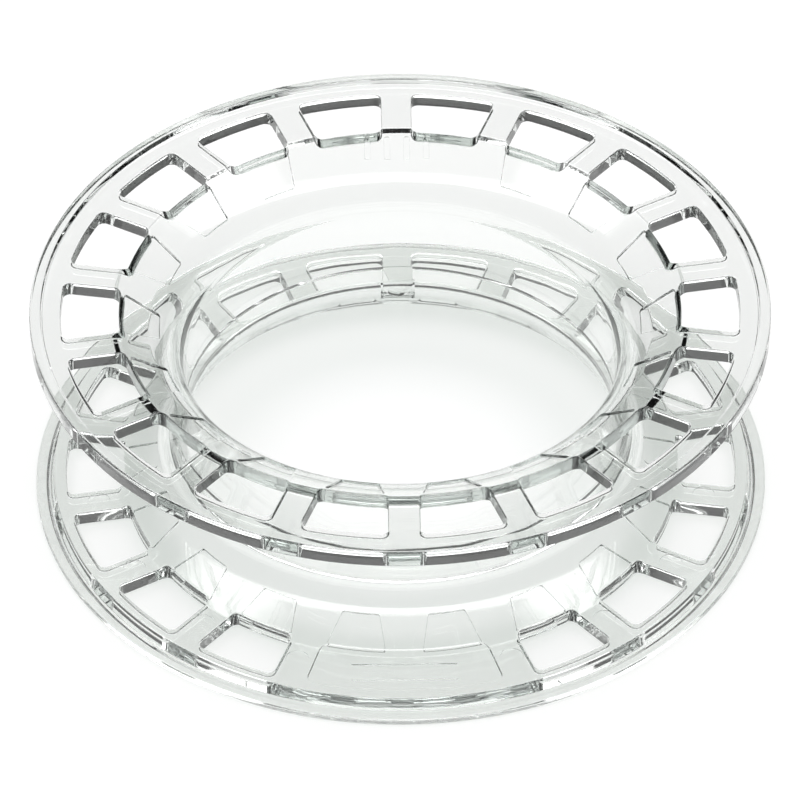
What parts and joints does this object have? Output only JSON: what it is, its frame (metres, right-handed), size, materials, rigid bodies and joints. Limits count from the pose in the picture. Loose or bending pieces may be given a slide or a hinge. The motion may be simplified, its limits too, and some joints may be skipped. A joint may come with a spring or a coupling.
{
  "type": "cassette spool",
  "caption": "Clear moulded line cassette: two windowed flanges on a wide hub with a bell-mouthed bore, in two halves that push together.",
  "frame": {"origin": "centre of the plane that the lower rim's bead stands on, on the cassette's axis", "axes": "+Z along the axis, from the lower half to the upper half; -Y towards the writing recess, +Y towards the locating tongue and the tally bars"},
  "size_m": [0.085, 0.085, 0.0262],
  "materials": {
    "clear_polycarbonate": "clear, polished mould finish"
  },
  "bodies": {
    "lower": {"lower_half": "clear_polycarbonate"},
    "upper": {"upper_half": "clear_polycarbonate"}
  },
  "joints": [
    {"name": "halves_pull_apart", "type": "slide", "parent": "lower", "child": "upper", "axis": [0, 0, 1], "range_m": [0, 0.025]}
  ]
}
